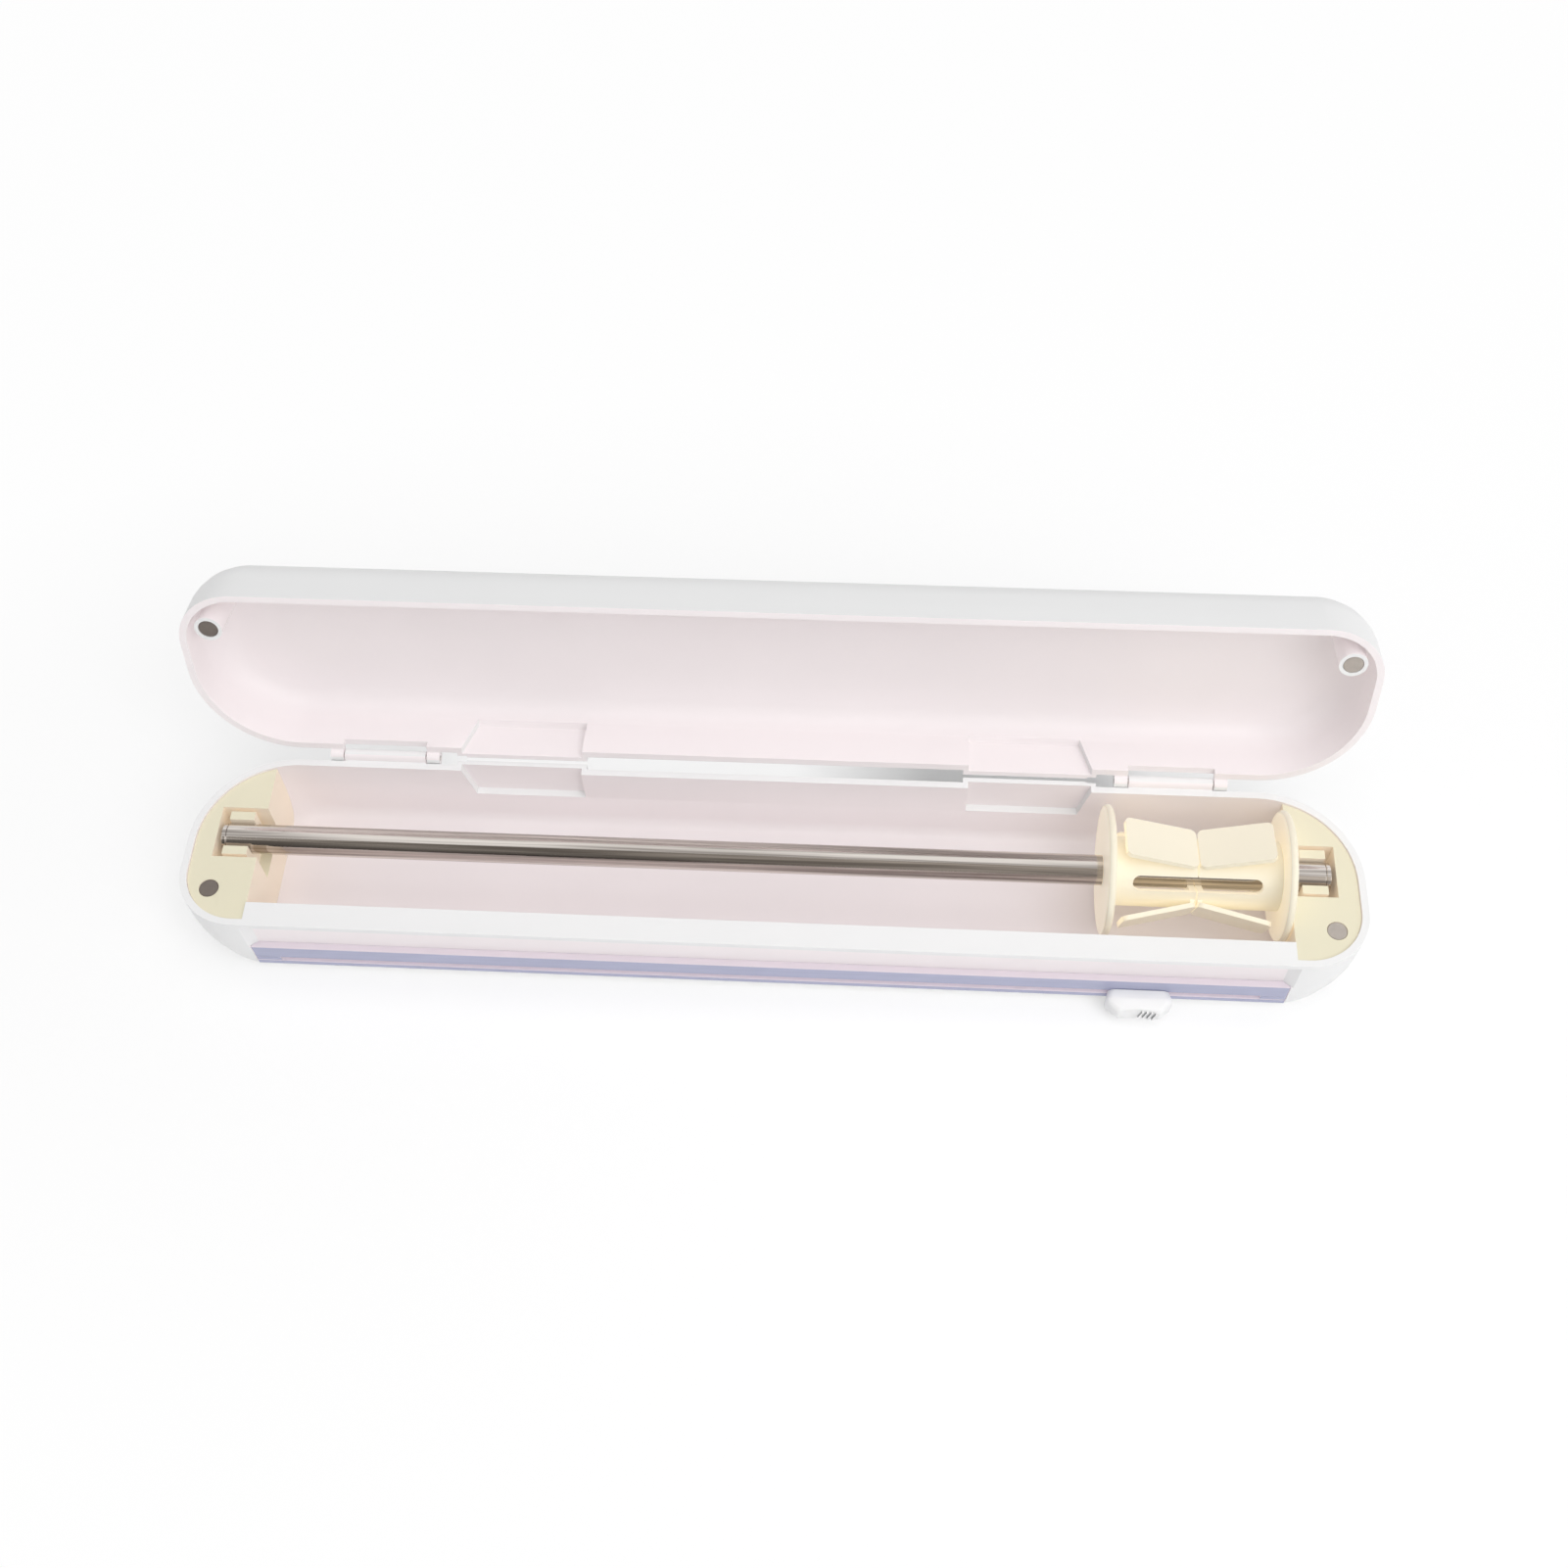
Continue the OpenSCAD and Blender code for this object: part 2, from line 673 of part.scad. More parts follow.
// Double-ended blade held in the neck, with a point at each end
module cutter_blade() color(steel) {
    back = tee_y + slide_gap;
    front = front_y;
    flat = neck_l / 2;
    tip = blade_l / 2;
    translate([slider_x, 0, slot_z - blade_t / 2]) linear_extrude(blade_t)
        polygon([[-tip, back], [-flat, front], [flat, front], [tip, back]]);
}

base_tray();
end_block_left();
end_block_right();
base_magnet_left();
base_magnet_right();
cutter_rail();
rail_plug_left();
rail_plug_right();
hinge_pin_left();
hinge_pin_right();
lid_shell();
lid_magnet_left();
lid_magnet_right();
spindle_rod();
rod_cap_left();
rod_cap_right();
core_plug_left();
core_plug_right();
cutter_knob();
cutter_shoe();
cutter_blade();
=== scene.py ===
"""Looks of a cling film cutter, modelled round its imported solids."""

import json
import math

import bmesh
import bpy
from bpy.props import FloatProperty, FloatVectorProperty, PointerProperty
from mathutils import Matrix, Vector


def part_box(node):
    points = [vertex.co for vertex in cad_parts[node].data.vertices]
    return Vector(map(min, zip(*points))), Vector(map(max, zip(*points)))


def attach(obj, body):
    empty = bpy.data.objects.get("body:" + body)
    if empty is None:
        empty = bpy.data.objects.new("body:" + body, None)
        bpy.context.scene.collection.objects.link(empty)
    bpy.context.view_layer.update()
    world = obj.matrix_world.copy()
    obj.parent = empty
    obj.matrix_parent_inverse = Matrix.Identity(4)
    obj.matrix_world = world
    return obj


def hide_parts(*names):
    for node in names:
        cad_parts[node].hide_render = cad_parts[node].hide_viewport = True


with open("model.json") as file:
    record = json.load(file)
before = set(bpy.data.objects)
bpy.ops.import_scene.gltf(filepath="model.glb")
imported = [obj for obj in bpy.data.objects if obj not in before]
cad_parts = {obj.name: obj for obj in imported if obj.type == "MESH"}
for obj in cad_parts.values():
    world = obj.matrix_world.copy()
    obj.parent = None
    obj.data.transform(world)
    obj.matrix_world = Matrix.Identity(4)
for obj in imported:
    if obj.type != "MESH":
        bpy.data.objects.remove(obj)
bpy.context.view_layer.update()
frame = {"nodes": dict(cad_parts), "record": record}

bl_info = {
    "name": "Cling film cutter",
    "version": (1, 0, 0),
    "blender": (4, 5, 0),
    "location": "3D View > Sidebar > Film cutter",
    "description": "Dresses the solids of a hinged cling film cutter and sets up its studio",
    "category": "Object",
}

SIDES = ("left", "right")
BEHAVIOUR = frame["record"]["behaviour"]
BODY_OF = {node: body for body, nodes in BEHAVIOUR["bodies"].items() for node in nodes}
LID_HINGE = next(row for row in BEHAVIOUR["joints"] if row["name"] == "lid_hinge")

# Meshes: lengths in metres, angles in radians, edges as shares of the fittings' edge width
MERGE = 2e-6
FLAT_ANGLE = math.radians(0.4)
SMOOTH_ANGLE = math.radians(32)
BEVEL_SEGMENTS = 3
BLOCK_EDGE = 1 / 2
BLADE_EDGE = 1 / 6

# Tests that choose faces: lengths in metres, and how nearly a normal points along a direction
SET_BACK = 0.002
POST_RADIUS = 0.0043
POST_PLAY = POST_RADIUS / 20
RIBBED_SHARE = 0.3
STRAIGHT = 0.99
MOSTLY = 0.9
SLANTED = 0.7
ROUGHLY = 0.5

# Sockets of a Mix node for colours, whose names those for numbers and vectors share
MIX_FACTOR, MIX_FIRST, MIX_SECOND, MIX_COLOUR = 0, 6, 7, 2

# Plastics: painted glow (emission that lightens shade) as shares of the colour on plain and on
# marked faces, then shades, shares and relief
CASE_PAINTED_GLOW = (0, 0.10)
BLOCK_PAINTED_GLOW = (0.02, 0.10)
PLUG_PAINTED_GLOW = (0.10, 0.24)
KNOB_PAINTED_GLOW = (0, 0)
RAIL_PAINTED_GLOW = (0, 0.14)
PLASTIC_IOR = 1.49
CLOUD_SHADE = 0.955
FLOW_SHADE = 0.84
FLOW_SHARE = 0.10
FLOW_RELIEF = 0.6
RUBBED_ROUGHNESS = 0.10
FINE_ROUGHNESS = 0.08
MOULD_DIP = 0.09
DRAW_SHADE = 0.80
DRAW_SHARE = 0.5
DRAW_ROUGHNESS = 0.14
CLEAR_ROUGHNESS = 0.06

# Metals: shades, shares and relief, with depths in metres
STREAK_SHARE = 0.7
STREAK_SPAN = (0.40, 0.58)
STAIN_SHADE = 0.6
STAIN_SHARE = 0.20
STREAK_ROUGHNESS = 0.06
SCUFF_ROUGHNESS = 0.05
STEEL_DIP = 0.05
MOTTLE_SHADE = 0.62
MOTTLE_ROUGHNESS = 0.22
PLATED_ROUGHNESS = 0.34
DRAWN_DEPTH = 1e-5
PIT_DEPTH = 2e-5

# Floor: spans in metres, and how much of its own white shows at their two ends; the strip behind
# the base gets painted light that fades from left to right
FLOOR_HALF = 3.0
RING_SCALE = (0.55, 1, 1)
NEAR_SPAN, NEAR_WHITE = (0.06, 0.22), (0.45, 0.92)
FAR_SPAN, FAR_WHITE = (0.3, 1.2), (0.0, 0.08)
STRIP_Y = 0.053
STRIP_SIDE = (0.006, 0.010)
STRIP_END = (0.105, 0.125)
STRIP_SPAN, STRIP_PAINTED_LIGHT = (0.005, 0.05), (0.8, 0.0)

# Softboxes: side and place in metres, and whether polished metal shows it
LIGHT_TARGET = Vector((0, 0.02, 0.03))
SOFTBOXES = {
    "right": (0.8, (0.95, -0.45, 0.75), True),
    "left": (0.8, (-0.95, -0.45, 0.75), True),
    "front": (0.9, (0.60, -0.80, 1.15), False),
    "top": (2.0, (0.30, 0.05, 2.40), False),
}

# Dark card: lengths in metres, angles above the table, and its brightness from left to right
FLAG_REACH = 1.4
FLAG_HALF = 0.9
FLAG_LOW = math.radians(3)
FLAG_HIGH = math.radians(74)
FLAG_STEPS = 16
FLAG_TINT = (1.0, 0.93, 0.86)
FLAG_SPAN, FLAG_LEVELS = (-0.3, 0.3), (0.0, 0.35)
FLAG_RISE = 0.24

# Camera: the photograph's width in pixels, and a sensor in millimetres
PHOTO_WIDTH = 1601
SENSOR = 36.0


def srgb(red, green, blue):
    """Scene colour of a written screen colour, each part from 0 to 255."""
    parts = []
    for part in (red, green, blue):
        value = part / 255
        parts.append(value / 12.92 if value <= 0.04045 else ((value + 0.055) / 1.055) ** 2.4)
    return tuple(parts)


def colour_prop(name, description, *screen):
    """A colour that a user can change."""
    return FloatVectorProperty(
        name=name, description=description, subtype="COLOR", size=3, min=0, max=1,
        default=srgb(*screen))


def length_prop(name, description, default):
    """A length that a user can change, in metres."""
    return FloatProperty(
        name=name, description=description, subtype="DISTANCE", unit="LENGTH", min=0, precision=5,
        default=default)


def share_prop(name, description, default):
    """A share from nothing to all."""
    return FloatProperty(
        name=name, description=description, subtype="FACTOR", min=0, max=1, default=default)


def power_prop(name, description, default):
    """A light's power that a user can change, in watts."""
    return FloatProperty(name=name, description=description, unit="POWER", default=default)


def angle_prop(name, description, degrees):
    """An angle that a user can change, written here in degrees."""
    return FloatProperty(
        name=name, description=description, subtype="ANGLE", default=math.radians(degrees))


class CaseLooks(bpy.types.PropertyGroup):
    """Finish of the two moulded shells"""

    outside: colour_prop("Outside", "Colour of the outer faces of the case", 240, 240, 240)
    # The inner faces also carry a painted glow that lightens their shade.
    inside: colour_prop("Inside", "Colour of the inner faces of the case", 238, 231, 232)
    edge: length_prop("Edge", "Width of the moulded rounding on the shells' edges", 0.0005)
    roughness: share_prop("Roughness", "Mean roughness of the moulded skin", 0.36)
    grain: length_prop("Grain", "Depth of the fine grain of the mould", 0.00002)


class FittingLooks(bpy.types.PropertyGroup):
    """Finish of the fittings in the case"""

    block: colour_prop("Block", "Colour of the end blocks", 229, 223, 198)
    # Painted light: a paler, warmer colour on the faces that don't look up, for warm bounce light
    # in the recesses.
    block_side_painted_light: colour_prop("Block side", "Colour of the end blocks' other sides", 246, 232, 212)
    block_roughness: share_prop("Block roughness", "Mean roughness of the end blocks", 0.42)
    plug: colour_prop("Plug", "Colour of the core plugs", 236, 229, 209)
    # Painted light: a paler colour on the plugs' ends and bores, which lightens their shade.
    plug_side_painted_light: colour_prop("Plug side", "Colour of the core plugs' ends and bores", 250, 240, 218)
    plug_roughness: share_prop("Plug roughness", "Mean roughness of the core plugs", 0.40)
    white: colour_prop("White", "Colour of the thumb knob and its shoe", 242, 242, 242)
    # Painted shade: a dark grey on the sides of the thumb ribs.
    rib_shade: colour_prop("Groove", "Colour of the dust beside the thumb ribs", 160, 160, 162)
    white_roughness: share_prop("White roughness", "Mean roughness of the thumb knob", 0.40)
    rail: colour_prop("Rail", "Tint of the clear rail's front", 190, 194, 222)
    # Painted light: a paler tint on the rail's faces other than its front, the slot's inside among
    # them.
    rail_painted_light: colour_prop("Rail top", "Tint of the clear rail's other faces", 234, 222, 224)
    steel: colour_prop("Steel", "Colour of the rod, the pins and the blade", 226, 219, 212)
    steel_shade: colour_prop("Steel shade", "Colour of the darker drawn streaks", 152, 145, 139)
    rod_roughness: share_prop("Rod roughness", "Mean roughness of the rod and its caps", 0.10)
    pin_roughness: share_prop("Pin roughness", "Mean roughness of the hinge pins", 0.34)
    blade_roughness: share_prop("Blade roughness", "Mean roughness of the blade", 0.28)
    # One plating in a lit and a shaded copy: the left magnets' darker colour is painted shade.
    magnet: colour_prop("Magnet", "Colour of the plated magnets", 204, 195, 187)
    left_magnet_shade: colour_prop("Tarnish", "Colour of the duller magnets", 134, 125, 118)
    edge: length_prop("Edge", "Width of the rounding on the fittings' edges", 0.0003)


class StageLooks(bpy.types.PropertyGroup):
    """Studio and camera"""

    floor: colour_prop("Floor", "Colour of the floor", 252, 252, 252)
    right: power_prop("Right light", "Power of the right softbox", 1.6)
    left: power_prop("Left light", "Power of the left softbox", 0.8)
    front: power_prop("Front light", "Power of the front softbox", 7.6)
    top: power_prop("Top light", "Power of the softbox overhead", 21)
    sky: share_prop("Sky", "Strength of the even light from all round", 0.40)
    target: FloatVectorProperty(
        name="Target", description="Point that the camera looks at", subtype="XYZ", unit="LENGTH",
        default=(0.0034, 0.0275, 0.030))
    distance: length_prop("Distance", "Distance of the camera from its target", 0.6082)
    elevation: angle_prop("Elevation", "Angle of the camera above the table", 58)
    azimuth: angle_prop("Azimuth", "Turn of the camera to the right", 5.257)
    roll: angle_prop("Roll", "Tilt of the camera about its own line of sight", -2.468)
    focal: FloatProperty(
        name="Focal length", description="Focal length in pixels of the photograph",
        subtype="PIXEL", default=1943.7)


class Wire:
    """An output socket of a material, or its bare tree: sums on it add Math nodes."""

    def __init__(self, tree, socket=None):
        self.tree = tree
        self.socket = socket

    def node(self, kind, settings=None, sockets=None, out=0):
        """Adds a node with its settings and its sockets' values or wires; returns one output."""
        made = self.tree.nodes.new(kind)
        for key, value in (settings or {}).items():
            setattr(made, key, value)
        for key, value in (sockets or {}).items():
            if isinstance(value, Wire):
                self.tree.links.new(value.socket, made.inputs[key])
            else:
                made.inputs[key].default_value = value
        return Wire(self.tree, made.outputs[out] if len(made.outputs) else None)

    def calculate(self, operation, first, second):
        """Adds a Math node."""
        return self.node("ShaderNodeMath", {"operation": operation}, {0: first, 1: second})

    def __add__(self, other):
        return self.calculate("ADD", self, other)

    __radd__ = __add__

    def __mul__(self, other):
        return self.calculate("MULTIPLY", self, other)

    __rmul__ = __mul__

    def __sub__(self, other):
        return self.calculate("SUBTRACT", self, other)

    def __rsub__(self, other):
        return self.calculate("SUBTRACT", other, self)

    def __abs__(self):
        return self.calculate("ABSOLUTE", self, 0)

    def larger(self, other):
        """The larger of two wires."""
        return self.calculate("MAXIMUM", self, other)


def whole(shade):
    """A colour with its alpha, or a wire as it is."""
    return shade if isinstance(shade, Wire) else (*shade, 1.0)


def blend(factor, first, second):
    """Colour between two colours or colour wires."""
    sockets = {MIX_FACTOR: factor, MIX_FIRST: whole(first), MIX_SECOND: whole(second)}
    return factor.node("ShaderNodeMix", {"data_type": "RGBA"}, sockets, out=MIX_COLOUR)


def darker(shade, share):
    """A colour with only a share of its brightness."""
    return tuple(part * share for part in shade)


def ramp(value, span, levels=(0.0, 1.0)):
    """Goes from one level to another as a value crosses a span."""
    return value.node("ShaderNodeMapRange", {}, {
        "Value": value, "From Min": span[0], "From Max": span[1],
        "To Min": levels[0], "To Max": levels[1]})


def relief(height, strength, depth):
    """Normal of a fine relief, with its depth in metres."""
    return height.node("ShaderNodeBump", {}, {
        "Strength": strength, "Distance": depth, "Height": height})


def coordinate(place, axis):
    """One of a place's three coordinates."""
    return place.node("ShaderNodeSeparateXYZ", {}, {"Vector": place}, out=axis)


def noise(place, scale, detail, stretch=(1, 1, 1), roughness=0.5):
    """Noise in the object's own metres; a stretch below 1 draws it out along that axis."""
    mapped = place.node("ShaderNodeMapping", {}, {"Vector": place, "Scale": stretch})
    sockets = {"Vector": mapped, "Scale": scale, "Detail": detail, "Roughness": roughness}
    return place.node("ShaderNodeTexNoise", {}, sockets)


def new_material(name):
    """Material, its empty tree and a wire of its Object coordinates."""
    made = bpy.data.materials.new(name)
    made.use_nodes = True
    made.node_tree.nodes.clear()
    tree = Wire(made.node_tree)
    return made, tree, tree.node("ShaderNodeTexCoord", out="Object")


def close_material(tree, sockets):
    """Ends a tree with one shader."""
    shader = tree.node("ShaderNodeBsdfPrincipled", {}, sockets)
    tree.node("ShaderNodeOutputMaterial", {}, {"Surface": shader})


def inside_mask(tree):
    """One on the faces that mark_faces chose."""
    return tree.node("ShaderNodeAttribute", {"attribute_name": "inside"}, out="Fac")


def painted_glow(tree, plain, marked, glow_shares):
    """Painted glow that lightens shade: emission of a share of the colour on plain and on marked
    faces.
    """
    return blend(inside_mask(tree), darker(plain, glow_shares[0]), darker(marked, glow_shares[1]))


def moulded_plastic(name, shade, inner, roughness, grain, glow_shares):
    """Satin plastic with mould grain, faint flow clouds and rubbed patches.

    Its marked faces have the inner colour, which is painted light on the end blocks and plugs and
    painted shade on the thumb ribs.
    Its emission is a painted glow that lightens shade on plain and marked faces.
    """
    made, tree, place = new_material(name)
    cloud = noise(place, scale=28, detail=3)
    flow = noise(place, scale=120, detail=4, stretch=(0.12, 1, 1))
    fine = noise(place, scale=2600, detail=2)
    rubbed = noise(place, scale=75, detail=5, roughness=0.62)
    tone = blend(
        inside_mask(tree),
        blend(cloud, darker(shade, CLOUD_SHADE), shade),
        blend(cloud, darker(inner, CLOUD_SHADE), inner))
    close_material(tree, {
        "Base Color": blend(FLOW_SHARE * flow, tone, darker(shade, FLOW_SHADE)),
        "Roughness": (roughness - MOULD_DIP) + RUBBED_ROUGHNESS * rubbed + FINE_ROUGHNESS * fine,
        "Normal": relief(fine + FLOW_RELIEF * flow, strength=0.22, depth=grain),
        "IOR": PLASTIC_IOR,
        "Specular IOR Level": 0.45,
        "Emission Color": painted_glow(tree, shade, inner, glow_shares),
        "Emission Strength": 1.0,
    })
    return made


def clear_plastic(name, tint, top, glow_shares):
    """Clear extruded plastic with a cool tint in front and draw lines along the rail; its other
    faces, the slot's inside among them, take a paler tint and a glow, both painted light.
    """
    made, tree, place = new_material(name)
    draw = noise(place, scale=700, detail=3, stretch=(0.01, 1, 1))
    haze = noise(place, scale=40, detail=3)
    drawn = DRAW_SHARE * draw + (1 - DRAW_SHARE) * haze
    tone = blend(drawn, darker(tint, DRAW_SHADE), tint)
    close_material(tree, {
        "Base Color": blend(inside_mask(tree), tone, top),
        "Roughness": CLEAR_ROUGHNESS + DRAW_ROUGHNESS * draw,
        "Normal": relief(draw, strength=0.2, depth=DRAWN_DEPTH),
        "IOR": PLASTIC_IOR,
        "Transmission Weight": 0.25,
        "Emission Color": painted_glow(tree, tint, tint, glow_shares),
        "Emission Strength": 1.0,
    })
    return made


def drawn_steel(name, shade, shadow, roughness):
    """Drawn steel with fine streaks along its length, grey stain and small scuffs."""
    made, tree, place = new_material(name)
    along = (0.012, 1, 1)
    streak = noise(place, scale=900, detail=3, stretch=along)
    broad = noise(place, scale=260, detail=2, stretch=along)
    stain = noise(place, scale=34, detail=4)
    scuff = noise(place, scale=700, detail=6, roughness=0.7)
    lines = ramp(STREAK_SHARE * streak + (1 - STREAK_SHARE) * broad, STREAK_SPAN)
    tone = blend(lines, shadow, shade)
    close_material(tree, {
        "Base Color": blend(STAIN_SHARE * stain, tone, darker(shade, STAIN_SHADE)),
        "Metallic": 1.0,
        "Roughness": (roughness - STEEL_DIP) + STREAK_ROUGHNESS * streak + SCUFF_ROUGHNESS * scuff,
        "Normal": relief(streak, strength=0.25, depth=DRAWN_DEPTH),
    })
    return made


def plated_disc(name, shade):
    """Dull plated magnet with a mottled skin."""
    made, tree, place = new_material(name)
    mottle = noise(place, scale=420, detail=4, roughness=0.65)
    pits = noise(place, scale=2200, detail=3)
    close_material(tree, {
        "Base Color": blend(mottle, darker(shade, MOTTLE_SHADE), shade),
        "Metallic": 0.85,
        "Roughness": PLATED_ROUGHNESS + MOTTLE_ROUGHNESS * mottle,
        "Normal": relief(pits, strength=0.3, depth=PIT_DEPTH),
    })
    return made


def new_object(name, bm, material):
    """Puts a mesh with its material into the scene."""
    mesh = bpy.data.meshes.new(name)
    bm.to_mesh(mesh)
    bm.free()
    mesh.materials.append(material)
    made = bpy.data.objects.new(name, mesh)
    bpy.context.scene.collection.objects.link(made)
    return made


def solid_of(node):
    """A node's solid, with its loose triangles merged and its flat faces whole again."""
    bm = bmesh.new()
    bm.from_mesh(frame["nodes"][node].data)
    bmesh.ops.remove_doubles(bm, verts=bm.verts, dist=MERGE)
    bmesh.ops.dissolve_limit(bm, angle_limit=FLAT_ANGLE, verts=bm.verts, edges=bm.edges)
    return bm


def mark_faces(bm, chosen):
    """Marks the faces that a test of their middle and their normal chooses."""
    layer = bm.faces.layers.float.new("inside")
    for face in bm.faces:
        face[layer] = float(chosen(face.calc_center_median(), face.normal))


def round_edges(piece, width):
    """Rounds a piece's sharp edges as a mould does."""
    bevel = piece.modifiers.new("Rounded edges", "BEVEL")
    bevel.limit_method = "ANGLE"
    bevel.angle_limit = SMOOTH_ANGLE
    bevel.width = width
    bevel.segments = BEVEL_SEGMENTS
    bevel.miter_outer = "MITER_ARC"
    bevel.use_clamp_overlap = True
    bevel.harden_normals = True


def rounded_copy(node, name, material, width, chosen=None):
    """Shown piece of a node: its own shape with rounded edges, and its chosen faces marked."""
    bm = solid_of(node)
    if chosen:
        mark_faces(bm, chosen)
    piece = new_object(name, bm, material)
    piece.data.shade_smooth()
    piece.data.set_sharp_from_angle(angle=SMOOTH_ANGLE)
    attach(piece, BODY_OF[node])
    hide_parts(node)
    round_edges(piece, width)


def shell_inside(node, parting):
    """Test for a shell's inner faces, which look towards its long middle line.

    Faces set back between the rail's ends and the sides of the magnet posts belong to the inside
    too, so that they take the inside colour and its painted glow, which lightens the shade under
    the lip and beside the posts; the parting face, the outermost along its normal, belongs to the
    outside.
    """
    low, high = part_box(node)
    axis = (low + high) / 2
    reach = high.x - (high.y - low.y) / 2
    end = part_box("cutter_rail")[1].x
    rim = max(vert.co.dot(parting) for vert in frame["nodes"][node].data.vertices)
    posts = [sum(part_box(f"lid_magnet_{side}"), Vector()) / 2 for side in SIDES]

    def on_post(out, normal):
        out = out - out.dot(parting) * parting
        level = abs(out.length - POST_RADIUS) < POST_PLAY
        return level and out.dot(normal) > MOSTLY * out.length

    def chosen(middle, normal):
        if normal.dot(parting) > STRAIGHT and middle.dot(parting) > rim - SET_BACK / 2:
            return False
        if any(on_post(middle - post, normal) for post in posts):
            return True
        forward = normal.y < -ROUGHLY and abs(middle.x) < end
        nearest = Vector((min(max(middle.x, -reach), reach), axis.y, axis.z))
        set_back = forward and middle.y > low.y + SET_BACK
        return set_back or (middle - nearest).dot(normal) < 0

    return chosen


def below_top(_middle, normal):
    """Test for the faces that don't look up, which take the end blocks' painted light."""
    return normal.z < MOSTLY


def bore_or_end():
    """Test for the faces of a plug that look along the rod or towards it, which take the plugs'
    painted light and a stronger painted glow.
    """
    low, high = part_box("spindle_rod")
    axis = (low + high) / 2

    def chosen(middle, normal):
        out = middle - axis
        out.x = 0
        return abs(normal.x) > MOSTLY or out.dot(normal) < 0

    return chosen


def rib_flank():
    """Test for the sides of the thumb ribs, which take painted shade."""
    low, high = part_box("cutter_knob")
    centre = (low.x + high.x) / 2
    reach = RIBBED_SHARE * (high.x - low.x)

    def chosen(middle, normal):
        return abs(normal.x) > SLANTED and abs(middle.x - centre) < reach

    return chosen


def behind_front(node):
    """Test for the faces of a node other than its front, which take the rail's painted light."""
    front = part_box(node)[0].y

    def chosen(middle, normal):
        return normal.y > -SLANTED or middle.y > front + SET_BACK / 4

    return chosen


class CUTTER_OT_case(bpy.types.Operator):
    """Dresses the tray and the lid"""

    bl_idname = "cutter.case"
    bl_label = "Case"

    def execute(self, context):
        looks = context.scene.cutter_case
        skin = moulded_plastic(
            "moulded case", looks.outside[:], looks.inside[:], looks.roughness, looks.grain,
            CASE_PAINTED_GLOW)
        opened = Matrix.Rotation(-math.radians(LID_HINGE["range_deg"][1]), 3, "X")
        for node, name, parting in (
                ("base_tray", "tray_moulding", Vector((0, 0, 1))),
                ("lid_shell", "lid_moulding", opened @ Vector((0, 0, -1)))):
            rounded_copy(node, name, skin, looks.edge, chosen=shell_inside(node, parting))
        return {"FINISHED"}


class CUTTER_OT_end_blocks(bpy.types.Operator):
    """Dresses the cream blocks in the ends of the tray"""

    bl_idname = "cutter.end_blocks"
    bl_label = "End blocks"

    def execute(self, context):
        looks = context.scene.cutter_fittings
        cream = moulded_plastic(
            "cream block", looks.block[:], looks.block_side_painted_light[:], looks.block_roughness,
            context.scene.cutter_case.grain, BLOCK_PAINTED_GLOW)
        width = looks.edge * BLOCK_EDGE
        for side in SIDES:
            rounded_copy(
                f"end_block_{side}", f"{side}_block_moulding", cream, width, chosen=below_top)
        return {"FINISHED"}


class CUTTER_OT_magnets(bpy.types.Operator):
    """Dresses the four disc magnets"""

    bl_idname = "cutter.magnets"
    bl_label = "Magnets"

    def execute(self, context):
        looks = context.scene.cutter_fittings
        # The left magnets take the darker colour: painted shade.
        for side, shade in (("left", looks.left_magnet_shade[:]), ("right", looks.magnet[:])):
            plated = plated_disc(f"plated {side} magnet", shade)
            for place in ("base", "lid"):
                rounded_copy(
                    f"{place}_magnet_{side}", f"{side}_{place}_magnet", plated, looks.edge)
        return {"FINISHED"}


class CUTTER_OT_rail(bpy.types.Operator):
    """Dresses the clear rail and the plugs in its ends"""

    bl_idname = "cutter.rail"
    bl_label = "Rail"

    def execute(self, context):
        looks = context.scene.cutter_fittings
        clear = clear_plastic("clear rail", looks.rail[:], looks.rail_painted_light[:], RAIL_PAINTED_GLOW)
        for node, name in (
                ("cutter_rail", "clear_rail"),
                ("rail_plug_left", "left_rail_plug"),
                ("rail_plug_right", "right_rail_plug")):
            rounded_copy(node, name, clear, looks.edge, chosen=behind_front(node))
        return {"FINISHED"}


class CUTTER_OT_hinge_pins(bpy.types.Operator):
    """Dresses the two hinge pins"""

    bl_idname = "cutter.hinge_pins"
    bl_label = "Hinge pins"

    def execute(self, context):
        looks = context.scene.cutter_fittings
        steel = drawn_steel(
            "pin steel", looks.steel[:], looks.steel_shade[:], looks.pin_roughness)
        for side in SIDES:
            rounded_copy(f"hinge_pin_{side}", f"{side}_hinge_pin", steel, looks.edge)
        return {"FINISHED"}


class CUTTER_OT_spindle(bpy.types.Operator):
    """Dresses the rod and its two caps"""

    bl_idname = "cutter.spindle"
    bl_label = "Spindle"

    def execute(self, context):
        looks = context.scene.cutter_fittings
        steel = drawn_steel(
            "rod steel", looks.steel[:], looks.steel_shade[:], looks.rod_roughness)
        rounded_copy("spindle_rod", "drawn_rod", steel, looks.edge)
        for side in SIDES:
            rounded_copy(f"rod_cap_{side}", f"{side}_rod_cap", steel, looks.edge)
        return {"FINISHED"}


class CUTTER_OT_core_plugs(bpy.types.Operator):
    """Dresses the two sprung core plugs"""

    bl_idname = "cutter.core_plugs"
    bl_label = "Core plugs"

    def execute(self, context):
        looks = context.scene.cutter_fittings
        cream = moulded_plastic(
            "cream plug", looks.plug[:], looks.plug_side_painted_light[:], looks.plug_roughness,
            context.scene.cutter_case.grain, PLUG_PAINTED_GLOW)
        for side in SIDES:
            rounded_copy(
                f"core_plug_{side}", f"{side}_core_plug", cream, looks.edge, chosen=bore_or_end())
        return {"FINISHED"}


